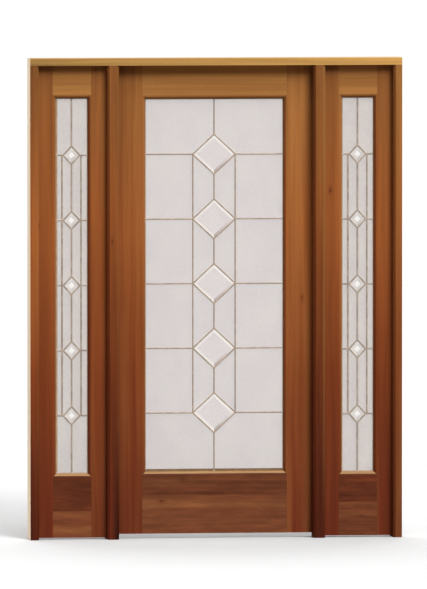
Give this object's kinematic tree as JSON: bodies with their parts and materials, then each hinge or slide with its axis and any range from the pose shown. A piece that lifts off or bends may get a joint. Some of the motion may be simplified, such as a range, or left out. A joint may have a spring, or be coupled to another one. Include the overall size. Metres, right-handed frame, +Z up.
{
  "type": "entrance door with sidelights",
  "caption": "Glazed timber entrance door hung in a frame between two fixed glazed sidelights, all with leaded diamond glass panels.",
  "frame": {"origin": "centre of the head's top face", "axes": "+Z up, the outside faces -Y and the room is at +Y, +X to the right as seen from outside"},
  "size_m": [1.6152, 0.1282, 2.0745],
  "materials": {
    "frame_wood": "reddish-brown stain under a satin clear coat, more golden towards the top",
    "sash_wood": "reddish-brown stain under a satin clear coat, vertical grain in stiles and horizontal in rails",
    "bead_wood": "the same stain on small glazing beads",
    "came": "soft antique brass came, soldered at the joints",
    "textured_glass": "fine granular obscure glass, pale and milky",
    "bevelled_glass": "clear glass with polished bevels",
    "leaded_panel": "pale textured glass with small clear bevelled jewels in fine brass cames",
    "hinge": "aged brass"
  },
  "bodies": {
    "frame": {"bottom_hinge_frame_leaf": "hinge", "head_jamb": "frame_wood", "left_jamb": "frame_wood", "left_mullion": "frame_wood", "left_sidelight_bottom_rail": "sash_wood", "left_sidelight_glazing_bead": "bead_wood", "left_sidelight_leaded_panel": "leaded_panel", "left_sidelight_left_stile": "sash_wood", "left_sidelight_right_stile": "sash_wood", "left_sidelight_top_rail": "sash_wood", "middle_hinge_frame_leaf": "hinge", "right_jamb": "frame_wood", "right_mullion": "frame_wood", "right_sidelight_bottom_rail": "sash_wood", "right_sidelight_glazing_bead": "bead_wood", "right_sidelight_leaded_panel": "leaded_panel", "right_sidelight_left_stile": "sash_wood", "right_sidelight_right_stile": "sash_wood", "right_sidelight_top_rail": "sash_wood", "top_hinge_frame_leaf": "hinge"},
    "door": {"bottom_hinge_door_leaf": "hinge", "door_bottom_rail": "sash_wood", "door_cames": "came", "door_glass_bottom_left": "textured_glass", "door_glass_bottom_right": "textured_glass", "door_glass_diamond_1": "bevelled_glass", "door_glass_diamond_2": "bevelled_glass", "door_glass_diamond_3": "bevelled_glass", "door_glass_diamond_4": "bevelled_glass", "door_glass_diamond_5": "bevelled_glass", "door_glass_inner_left_1": "textured_glass", "door_glass_inner_left_2": "textured_glass", "door_glass_inner_left_3": "textured_glass", "door_glass_inner_left_4": "textured_glass", "door_glass_inner_right_1": "textured_glass", "door_glass_inner_right_2": "textured_glass", "door_glass_inner_right_3": "textured_glass", "door_glass_inner_right_4": "textured_glass", "door_glass_outer_left_1": "textured_glass", "door_glass_outer_left_2": "textured_glass", "door_glass_outer_left_3": "textured_glass", "door_glass_outer_left_4": "textured_glass", "door_glass_outer_right_1": "textured_glass", "door_glass_outer_right_2": "textured_glass", "door_glass_outer_right_3": "textured_glass", "door_glass_outer_right_4": "textured_glass", "door_glass_top_left": "textured_glass", "door_glass_top_right": "textured_glass", "door_glazing_bead": "bead_wood", "door_left_stile": "sash_wood", "door_right_stile": "sash_wood", "door_top_rail": "sash_wood", "middle_hinge_door_leaf": "hinge", "top_hinge_door_leaf": "hinge"}
  },
  "joints": [
    {"name": "door_hinge", "type": "hinge", "parent": "frame", "child": "door", "pos_m": [-0.4334, 0.0646, -1.035], "axis": [0, 0, 1], "range_deg": [0, 170]}
  ]
}
